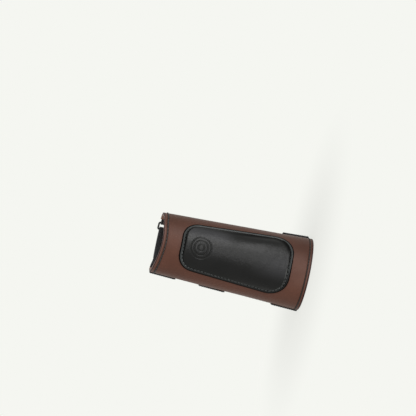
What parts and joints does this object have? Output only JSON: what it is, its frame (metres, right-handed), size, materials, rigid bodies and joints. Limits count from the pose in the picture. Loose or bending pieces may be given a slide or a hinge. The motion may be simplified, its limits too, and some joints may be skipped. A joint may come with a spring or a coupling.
{
  "type": "arm guard",
  "caption": "Leather arm guard for the inner forearm: a tapered wrap with a padded patch, closed at the back by elastic straps that fold back through wire rings.",
  "frame": {"origin": "bottom centre of the box: the plane of the wide elbow end, at the middle of the sleeve", "axes": "+Z from the elbow end towards the wrist end, -Y towards the padded patch, +X towards the side that carries the rings"},
  "size_m": [0.0909, 0.081, 0.183],
  "materials": {
    "brown_leather": "smooth, lightly waxed",
    "suede": "napped",
    "black_leather": "smooth, satin",
    "foam": "matt",
    "elastic": "ribbed knit",
    "webbing": "woven",
    "hook_tape": "fine plastic hooks",
    "loop_tape": "brushed loops",
    "wire": "black satin"
  },
  "bodies": {
    "sleeve": {"leather_panel": "brown_leather", "lining": "suede", "patch_cover": "black_leather", "patch_foam": "foam", "strap_wrist": "elastic", "strap_middle": "elastic", "strap_elbow": "elastic", "loop_wrist": "loop_tape", "loop_middle": "loop_tape", "loop_elbow": "loop_tape", "tab_wrist": "webbing", "tab_middle": "webbing", "tab_elbow": "webbing"},
    "wrist_ring": {"ring_wrist": "wire"},
    "wrist_tail": {"tail_wrist": "elastic", "hook_wrist": "hook_tape"},
    "middle_ring": {"ring_middle": "wire"},
    "middle_tail": {"tail_middle": "elastic", "hook_middle": "hook_tape"},
    "elbow_ring": {"ring_elbow": "wire"},
    "elbow_tail": {"tail_elbow": "elastic", "hook_elbow": "hook_tape"}
  },
  "joints": [
    {"name": "wrist_ring_rock", "type": "hinge", "parent": "sleeve", "child": "wrist_ring", "pos_m": [0.02728, 0.02134, 0.1638], "axis": [-0.0207, -0.0443, 0.9988], "range_deg": [-4, 4]},
    {"name": "wrist_tail_peel", "type": "hinge", "parent": "sleeve", "child": "wrist_tail", "pos_m": [0.02058, 0.02961, 0.1638], "axis": [0.0207, 0.0443, -0.9988], "range_deg": [0, 150]},
    {"name": "middle_ring_rock", "type": "hinge", "parent": "sleeve", "child": "middle_ring", "pos_m": [0.03095, 0.02152, 0.106], "axis": [-0.0237, -0.0417, 0.9988], "range_deg": [-4, 4]},
    {"name": "middle_tail_peel", "type": "hinge", "parent": "sleeve", "child": "middle_tail", "pos_m": [0.02508, 0.03039, 0.106], "axis": [0.0237, 0.0417, -0.9988], "range_deg": [0, 150]},
    {"name": "elbow_ring_rock", "type": "hinge", "parent": "sleeve", "child": "elbow_ring", "pos_m": [0.03614, 0.0214, 0.0192], "axis": [-0.0273, -0.0377, 0.9989], "range_deg": [-4, 4]},
    {"name": "elbow_tail_peel", "type": "hinge", "parent": "sleeve", "child": "elbow_tail", "pos_m": [0.03148, 0.03094, 0.0192], "axis": [0.0273, 0.0377, -0.9989], "range_deg": [0, 150]}
  ]
}
